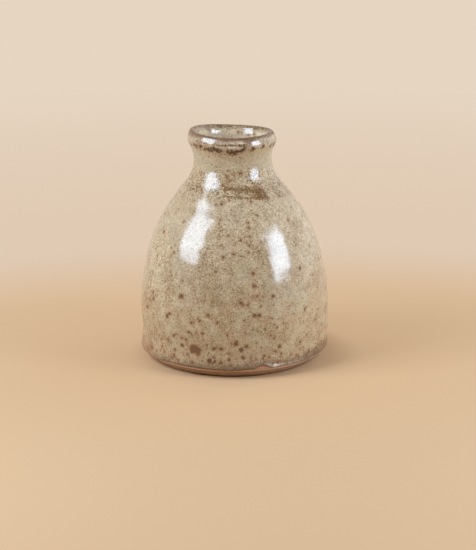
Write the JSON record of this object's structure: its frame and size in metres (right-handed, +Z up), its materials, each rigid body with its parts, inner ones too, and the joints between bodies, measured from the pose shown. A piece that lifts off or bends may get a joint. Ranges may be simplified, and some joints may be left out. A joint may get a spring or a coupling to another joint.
{
  "type": "bud vase",
  "caption": "Small wheel-thrown stoneware bud vase with a straight lower wall, sloping shoulder, narrow neck and rolled lip, in a speckled oatmeal glaze over a bare bevelled foot.",
  "frame": {"origin": "middle of the flat foot, on the surface that the vase stands on", "axes": "+Z up along the throwing axis; +X and +Y lie on the table, and the neck leans slightly towards -X"},
  "size_m": [0.0836, 0.0832, 0.102],
  "materials": {
    "bare_clay": "bare fired stoneware, reddish brown, matt and slightly sandy",
    "oatmeal_glaze": "glossy oatmeal glaze with fine brown and grey-green mottling and iron spots",
    "rim_glaze": "thin glossy glaze that broke to purple-brown over the edge of the lip",
    "liner_glaze": "glossy oatmeal glaze, plainer than outside"
  },
  "bodies": {
    "root": {"stoneware_body": "bare_clay", "outer_glaze": "oatmeal_glaze", "rim_glaze": "rim_glaze", "liner_glaze": "liner_glaze"}
  },
  "joints": []
}
